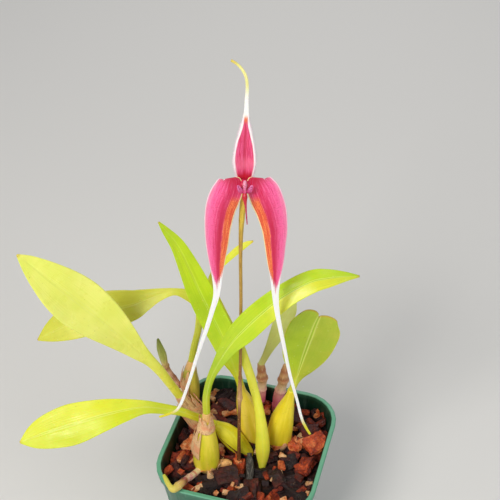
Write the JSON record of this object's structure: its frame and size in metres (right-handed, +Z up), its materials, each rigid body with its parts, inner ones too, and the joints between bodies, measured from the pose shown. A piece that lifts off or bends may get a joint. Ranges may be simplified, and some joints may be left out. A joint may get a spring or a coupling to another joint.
{
  "type": "potted orchid",
  "caption": "Flowering orchid with long-tailed sepals on an upright stalk, strap leaves and swollen bulbs, growing in bark in a square plastic pot",
  "frame": {"origin": "centre of the pot's underside, at the height of its standing face", "axes": "+Z up along the pot and the flower stem, -Y towards the viewer the flower faces, +X to that viewer's right"},
  "size_m": [0.1245, 0.0732, 0.2413],
  "materials": {
    "pot_plastic": "satin dark green moulded plastic",
    "bark": "damp split bark chips, red-brown to near black",
    "leaf": "smooth waxy yellow-green leaf",
    "bulb": "waxy olive-yellow bulb skin",
    "sheath": "dry papery tan and pink sheath",
    "stem": "thin brown and ochre flower stem",
    "sepal": "crimson-pink veined sepal with white tails",
    "petal": "pale pink flower centre",
    "root": "dry grey root"
  },
  "bodies": {
    "root": {"pot": "pot_plastic", "bark_bed": "bark", "pseudobulb_1": "bulb", "pseudobulb_2": "bulb", "pseudobulb_3": "bulb", "pseudobulb_4": "sheath", "pseudobulb_5": "bulb", "pseudobulb_6": "bulb", "shoot_a": "sheath", "shoot_b": "sheath", "shoot_c": "sheath", "rhizome_tip": "sheath", "rhizome_stub": "sheath", "dry_root": "root", "flower_stem": "stem", "leaf_1": "leaf", "leaf_2": "leaf", "leaf_3": "leaf", "leaf_4": "leaf", "leaf_6": "leaf", "leaf_7": "leaf", "leaf_8": "leaf", "leaf_9": "leaf", "dorsal_sepal": "sepal", "lateral_sepal_left": "sepal", "lateral_sepal_right": "sepal", "petal_left": "petal", "petal_right": "petal", "column": "petal", "labellum": "petal"}
  },
  "joints": []
}
